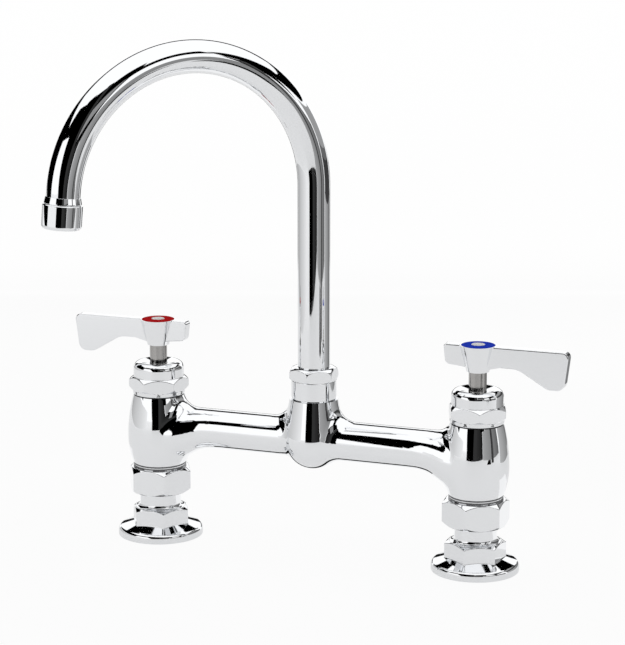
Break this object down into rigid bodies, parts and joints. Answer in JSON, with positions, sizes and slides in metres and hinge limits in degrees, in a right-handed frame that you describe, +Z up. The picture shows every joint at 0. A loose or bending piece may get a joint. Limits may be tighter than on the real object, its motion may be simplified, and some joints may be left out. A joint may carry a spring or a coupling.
{
  "type": "deck-mount bridge faucet",
  "caption": "Chrome deck-mount bridge faucet with a swivelling gooseneck spout, barrel-shaped valve bodies and wrist-blade handles.",
  "frame": {"origin": "midway between the two inlets, on the deck", "axes": "+X from the hot inlet to the cold inlet, -Y towards the user, +Z up"},
  "size_m": [0.312, 0.1587, 0.3111],
  "materials": {
    "chrome": "polished",
    "brass": "satin",
    "rubber": "matte",
    "ceramic": "satin",
    "steel": "satin",
    "hot_red": "gloss",
    "cold_blue": "gloss",
    "index_white": "gloss",
    "outlet_plastic": "satin"
  },
  "bodies": {
    "faucet_body": {"bridge_body": "chrome", "swivel_washer": "outlet_plastic", "spout_nut": "chrome", "hot_deck_flange": "chrome", "hot_coupling_nut": "chrome", "hot_union_washer": "rubber", "hot_seat_seal": "rubber", "hot_lower_disc": "ceramic", "hot_cartridge_body": "brass", "hot_bonnet_gasket": "rubber", "hot_bonnet": "chrome", "cold_deck_flange": "chrome", "cold_coupling_nut": "chrome", "cold_union_washer": "rubber", "cold_seat_seal": "rubber", "cold_lower_disc": "ceramic", "cold_cartridge_body": "brass", "cold_bonnet_gasket": "rubber", "cold_bonnet": "chrome"},
    "spout": {"spout_tube": "chrome", "swivel_ferrule": "brass", "spout_o_rings": "rubber", "outlet_ferrule": "chrome", "aerator_housing": "chrome", "aerator_washer": "rubber", "aerator_insert": "outlet_plastic", "aerator_screen": "steel"},
    "hot_lever": {"hot_upper_disc": "ceramic", "hot_stem": "chrome", "hot_stem_o_rings": "rubber", "hot_stem_clip": "steel", "hot_handle": "chrome", "hot_handle_screw": "steel", "hot_index_ring": "hot_red", "hot_index_centre": "index_white"},
    "cold_lever": {"cold_upper_disc": "ceramic", "cold_stem": "chrome", "cold_stem_o_rings": "rubber", "cold_stem_clip": "steel", "cold_handle": "chrome", "cold_handle_screw": "steel", "cold_index_ring": "cold_blue", "cold_index_centre": "index_white"}
  },
  "joints": [
    {"name": "spout_swivel", "type": "hinge", "parent": "faucet_body", "child": "spout", "pos_m": [0, 0, 0.106], "axis": [0, 0, 1], "continuous": true},
    {"name": "hot_turn", "type": "hinge", "parent": "faucet_body", "child": "hot_lever", "pos_m": [-0.1016, 0, 0.1], "axis": [0, 0, 1], "range_deg": [0, 90]},
    {"name": "cold_turn", "type": "hinge", "parent": "faucet_body", "child": "cold_lever", "pos_m": [0.1016, 0, 0.1], "axis": [0, 0, 1], "range_deg": [-90, 0]}
  ]
}
